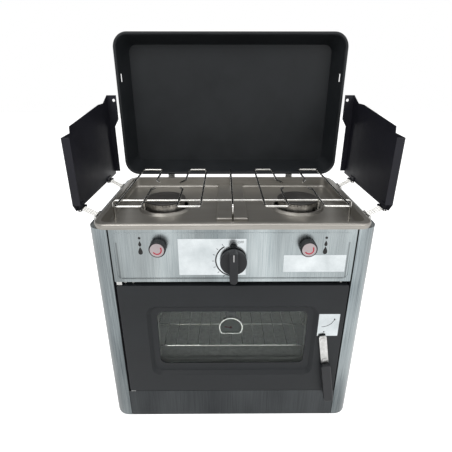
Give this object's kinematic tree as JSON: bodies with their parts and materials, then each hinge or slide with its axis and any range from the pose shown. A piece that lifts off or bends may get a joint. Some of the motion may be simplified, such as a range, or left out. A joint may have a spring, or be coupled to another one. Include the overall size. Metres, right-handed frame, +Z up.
{
  "type": "gas stove with oven",
  "caption": "Camping gas stove with burners under a folding lid and wind shields, and an oven with a glazed door below.",
  "frame": {"origin": "centre of the whole part's box, with the lid up and the wind shields out, at the level of the feet's undersides", "axes": "+Z up, the door and knobs face -Y, +X to the right seen from the front"},
  "size_m": [0.566, 0.388, 0.801],
  "materials": {
    "brushed_casing": "brushed",
    "dark_steel": "brushed",
    "zinc_steel": "satin",
    "hob_steel": "satin",
    "black_enamel": "matte",
    "black_sheet": "matte",
    "liner_steel": "satin",
    "chrome_wire": "polished",
    "burner_alloy": "satin",
    "burner_enamel": "satin",
    "brass": "satin",
    "glass": "clear",
    "rubber": "matte",
    "black_plastic": "matte",
    "cap_plastic": "gloss",
    "dial_white": "satin",
    "needle_red": "satin",
    "plate_silver": "satin",
    "ceramic": "satin"
  },
  "bodies": {
    "stove": {"back_panel": "zinc_steel", "base_pan": "zinc_steel", "burner_brackets": "zinc_steel", "burner_caps": "burner_enamel", "burner_heads": "burner_alloy", "casing_rivets": "zinc_steel", "casing_screws": "zinc_steel", "control_panel": "brushed_casing", "door_hinge_pins": "zinc_steel", "flame_spreader": "zinc_steel", "front_frame": "black_sheet", "gas_inlet": "brass", "gas_manifold": "zinc_steel", "gas_pipes": "zinc_steel", "gas_valves": "brass", "heat_shield": "zinc_steel", "hob_tray": "hob_steel", "igniters": "ceramic", "lid_hinge_arms": "zinc_steel", "lower_panel": "dark_steel", "oven_burner": "zinc_steel", "oven_liner": "liner_steel", "oven_racks": "chrome_wire", "panel_plates": "plate_silver", "rack_rails": "liner_steel", "rubber_feet": "rubber", "side_panel_left": "brushed_casing", "side_panel_right": "brushed_casing", "thermometer_case": "chrome_wire", "thermometer_dial": "dial_white", "thermometer_hook": "black_sheet", "thermometer_lens": "glass", "thermometer_pointer": "needle_red", "tray_hinges": "zinc_steel"},
    "stem_left": {"stem_left": "brass"},
    "stem_right": {"stem_right": "brass"},
    "stem_oven": {"stem_oven": "brass"},
    "knob_left": {"knob_left": "black_plastic", "knob_cap_left": "cap_plastic"},
    "knob_right": {"knob_right": "black_plastic", "knob_cap_right": "cap_plastic"},
    "knob_oven": {"knob_oven": "black_plastic"},
    "door": {"door_outer": "black_enamel", "door_inner": "liner_steel", "door_glass": "glass", "glass_clips": "zinc_steel", "door_gasket": "rubber", "handle_plate": "plate_silver", "door_hinge_bushes": "zinc_steel"},
    "latch": {"latch_strap": "zinc_steel", "latch_pins": "zinc_steel", "latch_grip": "black_plastic", "latch_tongue": "zinc_steel"},
    "grate": {"wire_grate": "chrome_wire"},
    "lid": {"lid_pan": "black_enamel", "lid_hinge_ears": "zinc_steel"},
    "shield_left": {"shield_left": "black_sheet"},
    "shield_right": {"shield_right": "black_sheet"},
    "link_left": {"link_wires_left": "chrome_wire"},
    "link_right": {"link_wires_right": "chrome_wire"}
  },
  "joints": [
    {"name": "door_hinge", "type": "hinge", "parent": "stove", "child": "door", "pos_m": [-0.213, -0.159, 0.218], "axis": [0, 0, -1], "range_deg": [0, 115]},
    {"name": "latch_turn", "type": "hinge", "parent": "door", "child": "latch", "pos_m": [0.1818, -0.162, 0.227], "axis": [0, -1, 0], "range_deg": [0, 80.5]},
    {"name": "lid_hinge", "type": "hinge", "parent": "stove", "child": "lid", "pos_m": [0, 0.1525, 0.4895], "axis": [-1, 0, 0], "range_deg": [-90, 0]},
    {"name": "link_left_swing", "type": "hinge", "parent": "stove", "child": "link_left", "pos_m": [-0.2535, 0, 0.4745], "axis": [0, -1, 0], "range_deg": [-87.35, 0]},
    {"name": "shield_left_fold", "type": "hinge", "parent": "link_left", "child": "shield_left", "pos_m": [-0.278, 0, 0.488], "axis": [0, -1, 0], "range_deg": [-2.65, 0]},
    {"name": "link_right_swing", "type": "hinge", "parent": "stove", "child": "link_right", "pos_m": [0.2535, 0, 0.4745], "axis": [0, 1, 0], "range_deg": [-87.35, 0]},
    {"name": "shield_right_fold", "type": "hinge", "parent": "link_right", "child": "shield_right", "pos_m": [0.278, 0, 0.488], "axis": [0, 1, 0], "range_deg": [-2.65, 0]},
    {"name": "grate_lift", "type": "slide", "parent": "stove", "child": "grate", "axis": [0, 0, 1], "range_m": [0, 0.08]},
    {"name": "stem_left_push", "type": "slide", "parent": "stove", "child": "stem_left", "axis": [0, 1, 0], "range_m": [0, 0.003], "stiffness_N_per_m": 300},
    {"name": "knob_left_turn", "type": "hinge", "parent": "stem_left", "child": "knob_left", "pos_m": [-0.1335, -0.167, 0.4345], "axis": [0, 1, 0], "range_deg": [0, 90]},
    {"name": "stem_right_push", "type": "slide", "parent": "stove", "child": "stem_right", "axis": [0, 1, 0], "range_m": [0, 0.003], "stiffness_N_per_m": 300},
    {"name": "knob_right_turn", "type": "hinge", "parent": "stem_right", "child": "knob_right", "pos_m": [0.1335, -0.167, 0.4345], "axis": [0, 1, 0], "range_deg": [0, 90]},
    {"name": "stem_oven_push", "type": "slide", "parent": "stove", "child": "stem_oven", "axis": [0, 1, 0], "range_m": [0, 0.003], "stiffness_N_per_m": 300},
    {"name": "knob_oven_turn", "type": "hinge", "parent": "stem_oven", "child": "knob_oven", "pos_m": [0.001, -0.167, 0.4045], "axis": [0, 1, 0], "range_deg": [0, 240]}
  ]
}
